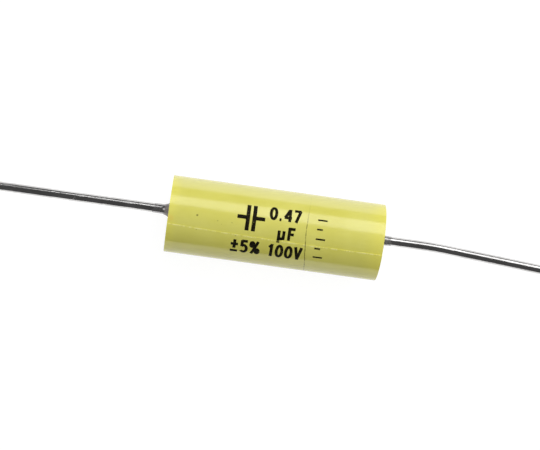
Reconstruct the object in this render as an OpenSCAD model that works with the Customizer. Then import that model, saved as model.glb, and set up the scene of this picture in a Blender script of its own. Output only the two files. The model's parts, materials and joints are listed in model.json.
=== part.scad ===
// Axial polyester film capacitor of the wrapped and filled kind
// A roll of metallised film has sprayed metal on both ends and a tinned wire welded to each.
// A tape is wrapped round the roll past both ends, and resin fills what is left of the wrap.
// The leads lie along X, the marked side faces +Z, and the origin is the centre of the body.

/* [Body] */
// Diameter over the wrap
body_d = 5; // [4:0.1:9]
// Length of the wrap
body_l = 13.8; // [9:0.1:25]

/* [Wrap] */
// Thickness of one layer of tape
tape_t = 0.05; // [0.03:0.01:0.1]
// Layers of tape round the roll
tape_layers = 3; // [2:1:6]
// Where the free edge of the tape lies, in degrees from the top towards -Y
tape_edge_angle = 19; // [0:1:359]

/* [Film roll] */
// Diameter of the hole that the winding mandrel leaves
mandrel_d = 0.8; // [0.4:0.1:1.5]
// Thickness of the sprayed metal on each end of the roll
spray_t = 0.3; // [0.2:0.05:0.5]

/* [Resin ends] */
// Depth from the end of the wrap to the sprayed metal
fill_depth = 1; // [0.9:0.1:2]
// Depth of the left resin below the rim of the wrap
left_recess = 0.35; // [0.15:0.05:0.5]
// Depth of the right resin below the rim of the wrap
right_recess = 0.45; // [0.15:0.05:0.5]
// Radius of the left resin's climb up its lead
left_climb_r = 0.8; // [0.5:0.1:1.3]
// Radius of the right resin's climb up its lead
right_climb_r = 0.7; // [0.5:0.1:0.9]
// Length of the resin skin on the left lead, past the end of the wrap
left_skin_l = 1; // [0.6:0.1:1.6]
// Length of the resin skin on the right lead, past the end of the wrap
right_skin_l = 0.5; // [0.4:0.1:1.6]
// Thickness of the resin skin on the leads
skin_t = 0.04; // [0.03:0.01:0.08]
// Thickness of that skin at its far edge
skin_edge_t = 0.015; // [0.01:0.005:0.025]
// Width of the lip where the resin meets the wrap
lip_w = 0.03; // [0.02:0.01:0.05]
// Depth of that lip below the rim of the wrap
lip_depth = 0.05; // [0.03:0.01:0.08]

/* [Leads] */
// Diameter of the wire
lead_d = 0.6; // [0.5:0.05:0.8]
// Length of each wire past the end of the wrap
lead_l = 30; // [20:0.5:50]
// Diameter of the flat head welded to the sprayed metal
head_d = 1.3; // [1.1:0.1:1.8]
// Thickness of the head
head_t = 0.25; // [0.15:0.05:0.35]
// How much thicker the wire is where the head was formed
neck_swell = 0.05; // [0.02:0.01:0.1]
// Distance of the left lead from the axis, towards +Y
left_offset = 0.21; // [0:0.01:0.4]
// Distance of the right lead from the axis, towards +Y
right_offset = 0.17; // [0:0.01:0.4]
// Straight length of the right lead before its bend
bend_start = 2.7; // [2:0.1:10]
// Angle of the bend towards -Y, in degrees
bend_angle = 3.8; // [1:0.1:20]
// Radius of the bend
bend_r = 25; // [10:1:40]
// How much thinner the wire is in its bend
bend_thinning = 0.002; // [0.002:0.001:0.01]
// Bevel round the cut end of each wire
tip_bevel = 0.08; // [0.04:0.01:0.12]

/* [Hidden] */
$fn = 96;
body_r = body_d / 2;
bore_r = body_r - tape_t * tape_layers;
end_x = body_l / 2;
spray_x = end_x - fill_depth;
roll_l = 2 * (spray_x - spray_t);
lead_r = lead_d / 2;
head_r = head_d / 2;
skin_r = lead_r + skin_t;
skin_edge_r = lead_r + skin_edge_t;
// how far the climb's circle dips under the resin's face, so that the two cross
climb_sink = 0.02;
// the bend runs this far into the straight wire after it
bend_lap = 0.05;

// Stands a child drawn upright along +X
module along_x() {
    rotate([90, 0, 90]) children();
}

// Puts a child drawn upright on the right end's sprayed face
module right_end() {
    translate([spray_x, 0, 0]) along_x() children();
}

// Puts a child drawn upright on the left end's sprayed face
module left_end() {
    rotate([0, 180, 0]) right_end() children();
}

// Half of a disc, on its +Y side for side = 1 and on its -Y side for side = -1
module half_disc(r, side) {
    intersection() {
        circle(r = r);
        translate([-2 * r, side > 0 ? 0 : -2 * r]) square([4 * r, 2 * r]);
    }
}

// Section of the wound tape, whose free edge stands one layer proud on +X
module wrap_section() {
    difference() {
        union() {
            half_disc(body_r, 1);
            translate([-tape_t / 2, 0]) half_disc(body_r - tape_t / 2, -1);
        }
        circle(r = bore_r);
    }
}

// Half section of the resin in the wrap, dished up to a lip at the wrap
module fill_profile(face_z, dish_r) {
    dish_x = bore_r - lip_w;
    difference() {
        square([bore_r, fill_depth - lip_depth]);
        translate([0, face_z]) square([dish_x - dish_r, fill_depth]);
        translate([0, face_z + dish_r]) square([dish_x, fill_depth]);
        translate([dish_x - dish_r, face_z + dish_r]) circle(r = dish_r);
    }
}

// Half section of the resin's climb up the lead, which runs out in the skin
module climb_profile(face_z, climb_r) {
    centre_x = lead_r + skin_edge_t / 2 + climb_r;
    centre_z = face_z + climb_r - climb_sink;
    difference() {
        translate([0, face_z / 2]) square([centre_x, centre_z - face_z / 2]);
        translate([centre_x, centre_z]) circle(r = climb_r);
    }
}

// Head and swollen neck of a lead, up to where the resin skin ends
module lead_root(skin_l) {
    cylinder(h = head_t, r = head_r);
    translate([0, 0, head_t])
        cylinder(h = fill_depth + skin_l - head_t, r1 = lead_r + neck_swell / 2, r2 = lead_r);
}

// Straight wire with a bevelled cut end
module cut_wire(length) {
    cylinder(h = length - tip_bevel, r = lead_r);
    translate([0, 0, length - tip_bevel])
        cylinder(h = tip_bevel, r1 = lead_r, r2 = lead_r - tip_bevel);
}

// Resin that fills one end of the wrap and climbs the lead
module end_seal(recess, climb, skin_l, offset) {
    face_z = fill_depth - recess;
    dish_r = recess - lip_depth;
    climb_r = min(climb, bore_r - lip_w - dish_r - offset - skin_r);
    difference() {
        union() {
            rotate_extrude() fill_profile(face_z, dish_r);
            translate([offset, 0, 0]) rotate_extrude() climb_profile(face_z, climb_r);
            translate([offset, 0, face_z / 2])
                cylinder(h = fill_depth + skin_l - face_z / 2, r1 = skin_r, r2 = skin_edge_r);
        }
        translate([offset, 0, 0]) lead_root(skin_l);
    }
}

// Yellow tape wound round the roll and both resin ends
module wrap() {
    color("gold")
        along_x()
            linear_extrude(height = body_l, center = true)
                rotate(90 + tape_edge_angle) wrap_section();
}

// Wound metallised film, with the hole of its mandrel
module film_roll() {
    color("silver")
        along_x()
            difference() {
                cylinder(h = roll_l, r = bore_r, center = true);
                cylinder(h = 2 * roll_l, d = mandrel_d, center = true);
            }
}

// Metal sprayed on the left end of the roll
module end_spray_left() {
    color("gray")
        left_end() translate([0, 0, -spray_t]) cylinder(h = spray_t, r = bore_r);
}

// Metal sprayed on the right end of the roll
module end_spray_right() {
    color("gray")
        right_end() translate([0, 0, -spray_t]) cylinder(h = spray_t, r = bore_r);
}

// Resin in the left end
module end_seal_left() {
    color("khaki")
        left_end() end_seal(left_recess, left_climb_r, left_skin_l, left_offset);
}

// Resin in the right end
module end_seal_right() {
    color("khaki")
        right_end() end_seal(right_recess, right_climb_r, right_skin_l, right_offset);
}

// Straight tinned wire on the left
module lead_left() {
    color("lightgray")
        left_end() translate([left_offset, 0, 0]) {
            lead_root(left_skin_l);
            translate([0, 0, fill_depth + left_skin_l]) cut_wire(lead_l - left_skin_l);
        }
}

// Tinned wire on the right, bent a little past its root
module lead_right() {
    bend_z = fill_depth + bend_start;
    bend_l = bend_r * bend_angle * PI / 180;
    lap_angle = bend_lap / bend_r * 180 / PI;
    color("lightgray")
        right_end() translate([right_offset, 0, 0]) {
            lead_root(right_skin_l);
            translate([0, 0, fill_depth + right_skin_l])
                cylinder(h = bend_start - right_skin_l, r = lead_r);
            translate([-bend_r, 0, bend_z]) rotate([90, 0, 0])
                rotate_extrude(angle = bend_angle + lap_angle)
                    translate([bend_r, 0]) circle(r = lead_r - bend_thinning / 2);
            translate([-bend_r, 0, bend_z]) rotate([0, -bend_angle, 0]) translate([bend_r, 0, 0])
                cut_wire(lead_l - bend_start - bend_l);
        }
}

wrap();
film_roll();
end_spray_left();
end_spray_right();
end_seal_left();
end_seal_right();
lead_left();
lead_right();
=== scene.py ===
"""Looks of an axial film capacitor: wound yellow tape, printed rating, resin ends and tinned leads."""

import json
import logging
import math
from dataclasses import dataclass, field
from enum import Enum
from functools import cached_property, partial, reduce

import bpy
from mathutils import Matrix, Vector

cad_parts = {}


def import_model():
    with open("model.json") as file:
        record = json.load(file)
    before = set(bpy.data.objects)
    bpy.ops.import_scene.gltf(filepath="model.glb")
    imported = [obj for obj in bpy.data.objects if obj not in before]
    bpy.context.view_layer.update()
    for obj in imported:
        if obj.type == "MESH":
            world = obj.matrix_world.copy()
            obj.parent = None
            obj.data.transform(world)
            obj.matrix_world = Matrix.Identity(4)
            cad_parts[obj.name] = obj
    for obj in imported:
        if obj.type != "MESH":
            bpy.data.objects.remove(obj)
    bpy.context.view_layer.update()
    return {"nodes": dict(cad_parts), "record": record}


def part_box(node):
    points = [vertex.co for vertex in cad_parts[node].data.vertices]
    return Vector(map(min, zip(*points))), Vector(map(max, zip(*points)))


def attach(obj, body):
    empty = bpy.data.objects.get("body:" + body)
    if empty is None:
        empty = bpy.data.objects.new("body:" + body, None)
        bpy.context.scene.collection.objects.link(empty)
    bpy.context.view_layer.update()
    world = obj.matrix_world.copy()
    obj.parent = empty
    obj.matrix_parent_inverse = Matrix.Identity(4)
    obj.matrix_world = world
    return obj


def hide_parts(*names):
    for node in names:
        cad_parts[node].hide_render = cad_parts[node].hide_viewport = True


LOG = logging.getLogger("capacitor")
MM = 0.001
ROOT = "root"
UP_ANGLE = math.radians(90)
FULL_TURN = 2 * math.pi
WHITE = (1.0, 1.0, 1.0, 1.0)
BOW_STEP_DEG = 12
BOW_LEAST_STEPS = 6

Colour = tuple[float, float, float]
Point = tuple[float, float]
Place = tuple[float, float, float]
Socket = bpy.types.NodeSocket
Feed = Socket | float | str | tuple


class End(Enum):
    """The two ends of the body, by the sign of X."""

    LEFT = -1
    RIGHT = 1

    @property
    def side(self) -> str:
        """Returns the end's name as it stands in the names of pieces and nodes."""
        return self.name.lower()


class LampShape(Enum):
    """The outlines of the studio's lamps."""

    OVAL = "ELLIPSE"
    BOX = "RECTANGLE"


class TreeKind(Enum):
    """What a node group works on."""

    SHADER = "ShaderNodeTree"
    GEOMETRY = "GeometryNodeTree"


class Plug(Enum):
    """The kinds of a node group's sockets."""

    FLOAT = "NodeSocketFloat"
    INT = "NodeSocketInt"
    VECTOR = "NodeSocketVector"
    MATERIAL = "NodeSocketMaterial"
    GEOMETRY = "NodeSocketGeometry"


class Sketch:
    """Adds nodes to one tree and links them."""

    def __init__(self, tree: bpy.types.NodeTree) -> None:
        """Keeps the tree that the nodes go into."""
        self.tree = tree

    def add(
        self,
        kind: str,
        feeds: dict[str | int, Feed] | None = None,
        **settings: str | bpy.types.NodeTree,
    ) -> bpy.types.Node:
        """Adds one node.

        Args:
            kind: Blender's type name of the node.
            feeds: what each input takes, by the input's name or number.
            settings: the node's own properties.

        Returns:
            The new node.
        """
        node = self.tree.nodes.new(kind)
        for name, value in settings.items():
            setattr(node, name, value)
        for key, value in (feeds or {}).items():
            self.feed(node.inputs[key], value)
        return node

    def feed(self, socket: Socket, value: Feed) -> None:
        """Links a socket to an input, or sets a constant on it.

        Args:
            socket: the input.
            value: the socket or the constant that it takes.
        """
        if isinstance(value, Socket):
            self.tree.links.new(value, socket)
        else:
            socket.default_value = value

    def group(self, tree: bpy.types.NodeTree, feeds: dict[str, Feed]) -> Socket:
        """Places a node group and returns its output."""
        kind = tree.bl_idname.replace("Tree", "Group")
        return self.add(kind, feeds, node_tree=tree).outputs[0]

    def math(self, operation: str, first: Feed, second: Feed = 0.0) -> Socket:
        """Adds a Math node and returns its value."""
        return self.add("ShaderNodeMath", {0: first, 1: second}, operation=operation).outputs[0]

    def times(self, first: Feed, *others: Feed) -> Socket:
        """Returns the product of some values."""
        return reduce(partial(self.math, "MULTIPLY"), others, first)

    def plus(self, first: Feed, *others: Feed) -> Socket:
        """Returns the sum of some values."""
        return reduce(partial(self.math, "ADD"), others, first)

    def minus(self, first: Feed, *others: Feed) -> Socket:
        """Returns a value less some others."""
        return reduce(partial(self.math, "SUBTRACT"), others, first)

    def most(self, first: Feed, *others: Feed) -> Socket:
        """Returns the largest of some values."""
        return reduce(partial(self.math, "MAXIMUM"), others, first)

    def vector(self, operation: str, first: Feed, second: Feed) -> Socket:
        """Adds a Vector Math node on two vectors and returns its vector."""
        return self.add("ShaderNodeVectorMath", {0: first, 1: second}, operation=operation).outputs[0]

    def distance(self, first: Feed, second: Feed) -> Socket:
        """Returns the distance between two places."""
        feeds = {0: first, 1: second}
        return self.add("ShaderNodeVectorMath", feeds, operation="DISTANCE").outputs["Value"]

    def split(self, vector: Feed) -> list[Socket]:
        """Returns a vector's x, y and z."""
        return list(self.add("ShaderNodeSeparateXYZ", {0: vector}).outputs)

    def join(self, x: Feed, y: Feed, z: Feed) -> Socket:
        """Returns the vector of three values."""
        return self.add("ShaderNodeCombineXYZ", {0: x, 1: y, 2: z}).outputs[0]

    def polar(self, x: Feed, angle: Feed, radius: Feed) -> Socket:
        """Returns the place at an angle and a radius round the X axis."""
        y, z = (self.times(self.math(turn, angle), radius) for turn in ("COSINE", "SINE"))
        return self.join(x, y, z)

    def fade(
        self,
        value: Feed,
        start: Feed = 0.0,
        end: Feed = 1.0,
        low: Feed = 0.0,
        high: Feed = 1.0,
    ) -> Socket:
        """Returns a smooth step from low at start to high at end."""
        feeds = {0: value, 1: start, 2: end, 3: low, 4: high}
        return self.add("ShaderNodeMapRange", feeds, interpolation_type="SMOOTHSTEP").outputs[0]

    def spot(self, gap: Feed, reach: float, core: float, depth: float = 1.0) -> Socket:
        """Returns a mask that is full within a share of its reach and fades out to the reach."""
        return self.fade(gap, start=reach, end=core * reach, high=depth)

    def mix(self, factor: Feed, first: Feed, second: Feed) -> Socket:
        """Returns a mix of two colours."""
        feeds = {0: factor, 6: first, 7: second}
        return self.add("ShaderNodeMix", feeds, data_type="RGBA").outputs[2]

    def noise(self, vector: Feed, scale: Feed, detail: float = 2.0, rough: float = 0.5) -> Socket:
        """Returns a noise value between 0 and 1."""
        feeds = {"Vector": vector, "Scale": scale, "Detail": detail, "Roughness": rough}
        return self.add("ShaderNodeTexNoise", feeds).outputs[0]

    def painted(self, name: str) -> Socket:
        """Returns what a material reads of a number stored on the mesh."""
        return self.add("ShaderNodeAttribute", attribute_name=name).outputs["Fac"]

    def stored(self, name: str) -> Socket:
        """Returns what a geometry tree reads of a number stored on the mesh."""
        feeds = {"Name": name}
        return self.add("GeometryNodeInputNamedAttribute", feeds, data_type="FLOAT").outputs[0]


def rgba(colour: Colour) -> tuple[float, float, float, float]:
    """Returns a colour with full alpha."""
    return (*colour, 1.0)


def floats(*names: str) -> dict[str, Plug]:
    """Returns number sockets of these names."""
    return dict.fromkeys(names, Plug.FLOAT)


def new_group(
    kind: TreeKind,
    name: str,
    inputs: dict[str, Plug],
    output: str,
    plug: Plug = Plug.FLOAT,
) -> tuple[Sketch, dict[str, Socket], Socket]:
    """Starts a node group with named inputs and one named output.

    Args:
        kind: what the group works on.
        name: the group's name.
        inputs: the kind of each input, by name.
        output: the output's name.
        plug: the output's kind.

    Returns:
        The sketch of the group, its inputs' sockets by name and its output's socket.
    """
    tree = bpy.data.node_groups.new(name, kind.value)
    for socket, socket_plug in inputs.items():
        tree.interface.new_socket(socket, in_out="INPUT", socket_type=socket_plug.value)
    tree.interface.new_socket(output, in_out="OUTPUT", socket_type=plug.value)
    sketch = Sketch(tree)
    taken = sketch.add("NodeGroupInput").outputs
    given = sketch.add("NodeGroupOutput").inputs
    return sketch, {socket: taken[socket] for socket in inputs}, given[output]


def end_tree(
    sketch: Sketch,
    geometry: Socket,
    material: Socket,
    given: Socket,
) -> bpy.types.NodeTree:
    """Ends a geometry tree with real geometry in its material.

    Args:
        sketch: the sketch of the tree.
        geometry: what the tree has made.
        material: the tree's input for the material.
        given: the tree's output.

    Returns:
        The finished tree.
    """
    real = sketch.add("GeometryNodeRealizeInstances", {0: geometry})
    dressed = sketch.add("GeometryNodeSetMaterial", {0: real.outputs[0], "Material": material})
    sketch.feed(given, dressed.outputs[0])
    return sketch.tree


def new_piece(
    name: str,
    points: list[Place],
    faces: list[tuple[int, ...]],
    edges: list[tuple[int, int]] | None = None,
) -> bpy.types.Object:
    """Makes an object from points in metres.

    Args:
        name: the piece's name.
        points: its vertices.
        faces: its faces as tuples of vertex numbers.
        edges: its loose edges as pairs of vertex numbers.

    Returns:
        The new object, linked to the scene.
    """
    mesh = bpy.data.meshes.new(name)
    mesh.from_pydata(points, edges or [], faces)
    mesh.update()
    piece = bpy.data.objects.new(name, mesh)
    bpy.context.scene.collection.objects.link(piece)
    return piece


def store(piece: bpy.types.Object, name: str, values: list[float]) -> None:
    """Stores a number under a name on each point of a piece."""
    piece.data.attributes.new(name, "FLOAT", "POINT").data.foreach_set("value", values)


def grow(piece: bpy.types.Object, tree: bpy.types.NodeTree, values: dict[str, object]) -> None:
    """Runs a geometry tree on a piece and keeps the result as its plain mesh.

    Args:
        piece: the object that the tree works on.
        tree: the geometry tree.
        values: its inputs by name.
    """
    modifier = piece.modifiers.new(tree.name, "NODES")
    modifier.node_group = tree
    sockets = {s.name: s.identifier for s in tree.interface.items_tree if s.in_out == "INPUT"}
    for name, value in values.items():
        modifier[sockets[name]] = value
    depsgraph = bpy.context.evaluated_depsgraph_get()
    grown = bpy.data.meshes.new_from_object(piece.evaluated_get(depsgraph))
    piece.modifiers.clear()
    piece.data = grown
    grown.name = piece.name


def smooth(piece: bpy.types.Object, sharp_deg: float = 35.0) -> None:
    """Shades a piece smooth, apart from its sharp edges.

    Args:
        piece: the piece.
        sharp_deg: the angle between two faces from which their edge is sharp.
    """
    mesh = piece.data
    mesh.polygons.foreach_set("use_smooth", [True] * len(mesh.polygons))
    mesh.set_sharp_from_angle(angle=math.radians(sharp_deg))


def settle(piece: bpy.types.Object, slot: str, *nodes: str) -> None:
    """Fixes a finished piece to the body and hides the nodes it stands for.

    Args:
        piece: the finished piece.
        slot: the record's material slot; not used.
        nodes: the nodes that it replaces.
    """
    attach(piece, ROOT)
    if nodes:
        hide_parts(*nodes)
    LOG.info("%s: %d faces", piece.name, len(piece.data.polygons))


def cloudy_tone() -> bpy.types.NodeTree:
    """Builds the shader group for slow changes of tone.

    Returns:
        The group.
    """
    inputs = {"Vector": Plug.VECTOR, **floats("Scale")}
    sketch, taken, given = new_group(TreeKind.SHADER, "cloudy_tone", inputs, "Tone")
    value = sketch.noise(taken["Vector"], taken["Scale"], detail=3.0, rough=0.55)
    sketch.feed(given, sketch.fade(value, start=0.3, end=0.7))
    return sketch.tree


def fine_scratches() -> bpy.types.NodeTree:
    """Builds the shader group for sparse fine lines along the first axis of its vector.

    Returns:
        The group.
    """
    inputs = {"Vector": Plug.VECTOR, **floats("Fineness", "Cover")}
    sketch, taken, given = new_group(TreeKind.SHADER, "fine_scratches", inputs, "Mask")
    stretch = (0.04, 1.0, 1.0)
    softness = 0.12
    drawn_out = sketch.vector("MULTIPLY", taken["Vector"], stretch)
    lines = sketch.noise(drawn_out, taken["Fineness"], rough=0.6)
    patches = sketch.noise(taken["Vector"], scale=0.8, detail=1.0)
    level = sketch.minus(1.0, taken["Cover"])
    mask = sketch.fade(lines, start=level, end=sketch.plus(level, softness))
    sketch.feed(given, sketch.times(mask, sketch.fade(patches, start=0.4, end=0.6)))
    return sketch.tree


def stray_specks() -> bpy.types.NodeTree:
    """Builds the shader group for small scattered specks.

    Returns:
        The group.
    """
    inputs = {"Vector": Plug.VECTOR, **floats("Spacing", "Radius")}
    sketch, taken, given = new_group(TreeKind.SHADER, "stray_specks", inputs, "Mask")
    core = 0.4
    left_out = 0.55
    scale = sketch.math("DIVIDE", 1.0, taken["Spacing"])
    cells = sketch.add("ShaderNodeTexVoronoi", {"Vector": taken["Vector"], "Scale": scale}).outputs
    reach = sketch.times(taken["Radius"], scale)
    near = sketch.fade(cells["Distance"], start=reach, end=sketch.times(reach, core))
    chosen = sketch.math("GREATER_THAN", sketch.split(cells["Color"])[0], left_out)
    sketch.feed(given, sketch.times(near, chosen))
    return sketch.tree


@dataclass(frozen=True)
class Effects:
    """The shader groups that the finishes share."""

    tone: bpy.types.NodeTree = field(default_factory=cloudy_tone)
    scratches: bpy.types.NodeTree = field(default_factory=fine_scratches)
    specks: bpy.types.NodeTree = field(default_factory=stray_specks)


@dataclass(frozen=True)
class Finish:
    """What every finish has. A plain value of the shader holds unless a node feeds its socket."""

    name: str
    effects: Effects
    roughness: float = 0.5
    metallic: float = 0.0
    ior: float = 1.5

    def start(self) -> tuple[bpy.types.Material, Sketch, bpy.types.bpy_prop_collection]:
        """Starts the material.

        Returns:
            The material, the sketch of its tree and the inputs of its Principled shader.
        """
        material = bpy.data.materials.new(self.name)
        material.use_nodes = True
        inputs = material.node_tree.nodes["Principled BSDF"].inputs
        inputs["Roughness"].default_value = self.roughness
        inputs["Metallic"].default_value = self.metallic
        inputs["IOR"].default_value = self.ior
        return material, Sketch(material.node_tree), inputs

    def millimetres(self, sketch: Sketch) -> Socket:
        """Returns the piece's own coordinates in millimetres."""
        place = sketch.add("ShaderNodeTexCoord").outputs["Object"]
        return sketch.vector("MULTIPLY", place, (1 / MM, 1 / MM, 1 / MM))

    def off_axis(self, sketch: Sketch, place: Feed) -> Socket:
        """Returns the distance from the body's axis."""
        across = sketch.vector("MULTIPLY", place, (0.0, 1.0, 1.0))
        return sketch.add("ShaderNodeVectorMath", {0: across}, operation="LENGTH").outputs["Value"]

    def tone(self, sketch: Sketch, place: Feed, scale: float) -> Socket:
        """Returns a slow change of tone between 0 and 1."""
        return sketch.group(self.effects.tone, {"Vector": place, "Scale": scale})

    def scratch(self, sketch: Sketch, place: Feed, fineness: float, cover: float) -> Socket:
        """Returns a mask of fine lines along X."""
        feeds = {"Vector": place, "Fineness": fineness, "Cover": cover}
        return sketch.group(self.effects.scratches, feeds)

    def speck(self, sketch: Sketch, place: Feed, spacing: float, radius: float) -> Socket:
        """Returns a mask of scattered specks."""
        feeds = {"Vector": place, "Spacing": spacing, "Radius": radius}
        return sketch.group(self.effects.specks, feeds)

    def bump(self, sketch: Sketch, height: Feed, strength: float, depth: float) -> Socket:
        """Returns the normal of a height, of which 1 is as deep as the depth in millimetres."""
        feeds = {"Strength": strength, "Distance": depth * MM, "Height": height}
        return sketch.add("ShaderNodeBump", feeds).outputs[0]


@dataclass(frozen=True)
class Mark:
    """A small round mark on the upper side, in millimetres from the body's centre."""

    x: float
    y: float
    radius: float
    depth: float = 1.0
    core: float = 0.3

    def mask(self, sketch: Sketch, flat: Feed) -> Socket:
        """Returns the mark's mask at a place with no height."""
        gap = sketch.distance(flat, (self.x, self.y, 0.0))
        return sketch.spot(gap, self.radius, self.core, self.depth)


@dataclass(frozen=True)
class Hairline:
    """A broken hairline round the marked side of the tape. Lengths are in millimetres."""

    x: float = 1.86
    slant: float = -0.027
    curve: float = 0.041
    width: float = 0.04
    core: float = 0.2
    wander: float = 0.07

    def mask(self, sketch: Sketch, place: Socket) -> Socket:
        """Draws the hairline.

        Args:
            sketch: the sketch of the material.
            place: the piece's coordinates in millimetres.

        Returns:
            The hairline's mask.
        """
        x, y, z = sketch.split(place)
        wander = sketch.times(sketch.noise(place, scale=1.7), self.wander)
        bent = sketch.plus(sketch.times(y, self.curve), self.slant)
        middle = sketch.plus(sketch.times(bent, y), self.x)
        off = sketch.math("ABSOLUTE", sketch.minus(sketch.plus(middle, wander), x))
        line = sketch.spot(off, self.width, self.core)
        gaps = sketch.noise(place, scale=3.2, detail=3.0)
        breaks = sketch.fade(gaps, start=0.34, end=0.58, low=0.25, high=0.95)
        lower = sketch.fade(y, start=1.78, end=0.3, low=0.08)
        shown = sketch.times(lower, sketch.fade(z, start=-0.15, end=0.4))
        return sketch.times(line, breaks, shown)


@dataclass(frozen=True)
class TapeFinish(Finish):
    """Smooth lemon-yellow polyester tape with a soft gloss. Lengths are in millimetres."""

    roughness: float = 0.16
    ior: float = 1.72
    half_length: float = 6.9
    lemon: Colour = (0.67, 0.632, 0.117)
    pale: Colour = (0.71, 0.676, 0.152)
    end_tint: Colour = (0.78, 0.725, 0.125)
    painted_top_sheen: Colour = (0.685, 0.65, 0.18)
    painted_edge_light: Colour = (0.86, 0.83, 0.36)
    stain: Colour = (0.11, 0.096, 0.014)
    amber: Colour = (0.8, 0.6, 0.1)
    amber_spot: Mark = Mark(-6.72, -0.29, 0.3, 0.45)
    left_fade: float = 0.8
    left_share: float = 0.7
    right_fade: float = 1.5
    right_share: float = 0.8
    sheen_from: float = 1.55
    sheen_to: float = 2.1
    edge_w: float = 0.08
    edge_core: float = 0.2
    edge_share: float = 0.8
    speck_depth: float = 0.35
    scratch_rough: float = 0.1
    scratch_depth: float = 0.06
    mark_shift: float = 0.09
    hairline: Hairline = Hairline()
    marks: tuple[Mark, ...] = (
        Mark(-5.06, 0.12, 0.09, 0.8),
        Mark(-5.0, -0.79, 0.05, 0.4),
        Mark(-3.75, -0.05, 0.053, 0.4),
        Mark(-3.48, -0.24, 0.04, 0.3),
        Mark(-2.84, -0.05, 0.045, 0.45),
        Mark(-2.5, -0.83, 0.06, 0.4),
        Mark(-2.15, -0.8, 0.05, 0.3),
    )

    def build(self) -> bpy.types.Material:
        """Mixes the tape's material.

        Returns:
            The material.
        """
        material, sketch, inputs = self.start()
        place = self.millimetres(sketch)
        x, y, _ = sketch.split(place)
        colour = sketch.mix(self.tone(sketch, place, scale=0.37), rgba(self.lemon), rgba(self.pale))
        # painted reflection: the upper side, towards the key lamp, fades to a paler, whiter yellow
        top_sheen = sketch.fade(y, start=self.sheen_from, end=self.sheen_to)
        colour = sketch.mix(top_sheen, colour, rgba(self.painted_top_sheen))
        end_x = self.half_length
        left = sketch.fade(x, start=self.left_fade - end_x, end=-end_x, high=self.left_share)
        right = sketch.fade(x, start=end_x - self.right_fade, end=end_x, high=self.right_share)
        colour = sketch.mix(sketch.plus(left, right), colour, rgba(self.end_tint))
        # painted highlight: a pale line along the tape's free edge, in stretches
        colour = sketch.mix(self.free_edge(sketch, x), colour, rgba(self.painted_edge_light))
        colour = sketch.mix(self.spots(sketch, place, (self.amber_spot,)), colour, rgba(self.amber))
        specks = sketch.times(self.speck(sketch, place, spacing=2.0, radius=0.035), self.speck_depth)
        marks = self.spots(sketch, place, self.marks)
        stained = sketch.most(specks, marks, self.hairline.mask(sketch, place))
        sketch.feed(inputs["Base Color"], sketch.mix(stained, colour, rgba(self.stain)))
        scratches = self.scratch(sketch, place, fineness=12.0, cover=0.36)
        rough = sketch.fade(self.tone(sketch, place, scale=1.2), low=0.13, high=0.18)
        rough = sketch.plus(rough, sketch.times(scratches, self.scratch_rough))
        sketch.feed(inputs["Roughness"], rough)
        dimples = sketch.noise(place, scale=2.1, detail=3.0)
        height = sketch.minus(dimples, sketch.times(scratches, self.scratch_depth))
        sketch.feed(inputs["Normal"], self.bump(sketch, height, strength=0.08, depth=0.023))
        return material

    def free_edge(self, sketch: Sketch, x: Socket) -> Socket:
        """Paints the light that the tape's cut edge catches in stretches, as a paler line.

        Args:
            sketch: the sketch of the material.
            x: the place along the body.

        Returns:
            The mask of the painted highlight.
        """
        line = sketch.spot(sketch.painted("from_edge"), self.edge_w, self.edge_core)
        stretches = sketch.noise(sketch.join(x, 0.0, 0.0), scale=1.5, detail=3.0, rough=0.7)
        return sketch.times(line, sketch.fade(stretches, start=0.44, end=0.56, high=self.edge_share))

    def spots(self, sketch: Sketch, place: Socket, marks: tuple[Mark, ...]) -> Socket:
        """Draws some ragged marks on the upper side.

        Args:
            sketch: the sketch of the material.
            place: the piece's coordinates in millimetres.
            marks: the marks.

        Returns:
            The marks' mask.
        """
        x, y, z = sketch.split(place)
        ragged = sketch.add("ShaderNodeTexNoise", {"Vector": place, "Scale": 8.0}).outputs["Color"]
        centred = sketch.vector("SUBTRACT", ragged, (0.5, 0.5, 0.5))
        shift = sketch.vector("MULTIPLY", centred, (self.mark_shift, self.mark_shift, 0.0))
        flat = sketch.vector("ADD", sketch.join(x, y, 0.0), shift)
        upper = sketch.math("GREATER_THAN", z, 0.0)
        return sketch.most(0.0, *(sketch.times(mark.mask(sketch, flat), upper) for mark in marks))


@dataclass(frozen=True)
class InkFinish(Finish):
    """Black stamped ink, a little thin in places."""

    ior: float = 1.15
    ink: Colour = (0.0085, 0.0072, 0.003)
    thin_ink: Colour = (0.036, 0.032, 0.014)

    def build(self) -> bpy.types.Material:
        """Mixes the ink's material.

        Returns:
            The material.
        """
        material, sketch, inputs = self.start()
        place = self.millimetres(sketch)
        thin = sketch.fade(sketch.noise(place, scale=6.6, detail=3.0), start=0.5, end=0.75)
        sketch.feed(inputs["Base Color"], sketch.mix(thin, rgba(self.ink), rgba(self.thin_ink)))
        sketch.feed(inputs["Roughness"], sketch.fade(thin, low=0.45, high=0.6))
        pinholes = sketch.noise(place, scale=14.5)
        sketch.feed(inputs["Alpha"], sketch.fade(pinholes, start=0.76, end=0.7))
        return material


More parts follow.
